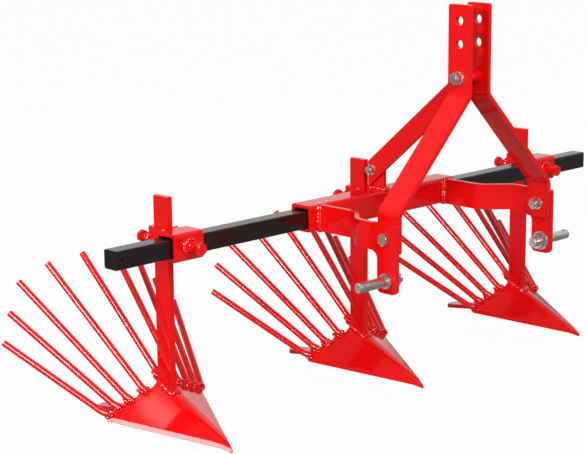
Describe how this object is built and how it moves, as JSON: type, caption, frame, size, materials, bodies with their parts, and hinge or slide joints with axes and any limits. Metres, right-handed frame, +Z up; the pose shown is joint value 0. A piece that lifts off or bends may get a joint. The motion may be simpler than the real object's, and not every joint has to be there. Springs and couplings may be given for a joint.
{
  "type": "potato digger",
  "caption": "Row-crop potato digger for a tractor's three-point hitch: a square toolbar with clamped shanks, each with a folded share and a fan of lifting rods.",
  "frame": {"origin": "on the ground, under the middle of the bounding box", "axes": "+X along the toolbar to the machine's right side in the picture, -Y forward to the tractor, +Z up"},
  "size_m": [1.6888, 0.6538, 0.8894],
  "materials": {
    "red_paint": "glossy red paint",
    "black_paint": "satin black paint",
    "black_plastic": "matt black",
    "zinc": "bright zinc plate"
  },
  "bodies": {
    "frame": {"toolbar_tube": "black_paint", "hitch_sleeve": "red_paint", "sleeve_socket": "red_paint", "brace_lug": "red_paint", "mast_brace": "red_paint", "mast_spacer": "red_paint", "toolbar_cap_left": "black_plastic", "hitch_arm_left": "red_paint", "mast_leg_left": "red_paint", "lower_pin_left": "zinc", "lower_pin_washer_left": "zinc", "lower_pin_nut_left": "zinc", "leg_bolt_left": "zinc", "leg_nut_left": "zinc", "leg_washer_left": "zinc", "toolbar_cap_right": "black_plastic", "hitch_arm_right": "red_paint", "mast_leg_right": "red_paint", "lower_pin_right": "zinc", "lower_pin_washer_right": "zinc", "lower_pin_nut_right": "zinc", "leg_bolt_right": "zinc", "leg_nut_right": "zinc", "leg_washer_right": "zinc", "mast_bolt": "zinc", "mast_nut": "zinc", "mast_washer": "zinc", "brace_bolt": "zinc", "brace_nut": "zinc", "brace_washer": "zinc", "shank_nut_middle": "red_paint"},
    "clamp_left": {"clamp_box_left": "red_paint", "clamp_socket_left": "red_paint", "bar_nut_left": "red_paint", "shank_nut_left": "red_paint"},
    "bar_screw_left": {"bar_screw_left": "red_paint"},
    "clamp_right": {"clamp_box_right": "red_paint", "clamp_socket_right": "red_paint", "bar_nut_right": "red_paint", "shank_nut_right": "red_paint"},
    "bar_screw_right": {"bar_screw_right": "red_paint"},
    "row_left": {"shank_left": "red_paint", "share_left": "red_paint", "rods_left": "red_paint", "heel_left": "red_paint"},
    "shank_screw_left": {"shank_screw_left": "red_paint"},
    "row_middle": {"shank_middle": "red_paint", "share_middle": "red_paint", "rods_middle": "red_paint", "heel_middle": "red_paint"},
    "shank_screw_middle": {"shank_screw_middle": "red_paint"},
    "row_right": {"shank_right": "red_paint", "share_right": "red_paint", "rods_right": "red_paint", "heel_right": "red_paint"},
    "shank_screw_right": {"shank_screw_right": "red_paint"}
  },
  "joints": [
    {"name": "clamp_slide_left", "type": "slide", "parent": "frame", "child": "clamp_left", "axis": [-1, 0, 0], "range_m": [-0.1, 0.13]},
    {"name": "bar_screw_turn_left", "type": "hinge", "parent": "clamp_left", "child": "bar_screw_left", "pos_m": [-0.6, -0.0409, 0.41734], "axis": [0, -1, 0], "range_deg": [0, 720]},
    {"name": "clamp_slide_right", "type": "slide", "parent": "frame", "child": "clamp_right", "axis": [1, 0, 0], "range_m": [-0.1, 0.13]},
    {"name": "bar_screw_turn_right", "type": "hinge", "parent": "clamp_right", "child": "bar_screw_right", "pos_m": [0.6, -0.0409, 0.41734], "axis": [0, -1, 0], "range_deg": [0, 720]},
    {"name": "shank_slide_left", "type": "slide", "parent": "clamp_left", "child": "row_left", "axis": [0, 0, 1], "range_m": [-0.06, 0.12]},
    {"name": "shank_screw_turn_left", "type": "hinge", "parent": "clamp_left", "child": "shank_screw_left", "pos_m": [-0.6, 0.0522, 0.41734], "axis": [0, 1, 0], "range_deg": [0, 720]},
    {"name": "shank_slide_middle", "type": "slide", "parent": "frame", "child": "row_middle", "axis": [0, 0, 1], "range_m": [-0.06, 0.12]},
    {"name": "shank_screw_turn_middle", "type": "hinge", "parent": "frame", "child": "shank_screw_middle", "pos_m": [0, 0.05415, 0.41739], "axis": [0, 1, 0], "range_deg": [0, 720]},
    {"name": "shank_slide_right", "type": "slide", "parent": "clamp_right", "child": "row_right", "axis": [0, 0, 1], "range_m": [-0.06, 0.12]},
    {"name": "shank_screw_turn_right", "type": "hinge", "parent": "clamp_right", "child": "shank_screw_right", "pos_m": [0.6, 0.0522, 0.41734], "axis": [0, 1, 0], "range_deg": [0, 720]}
  ]
}
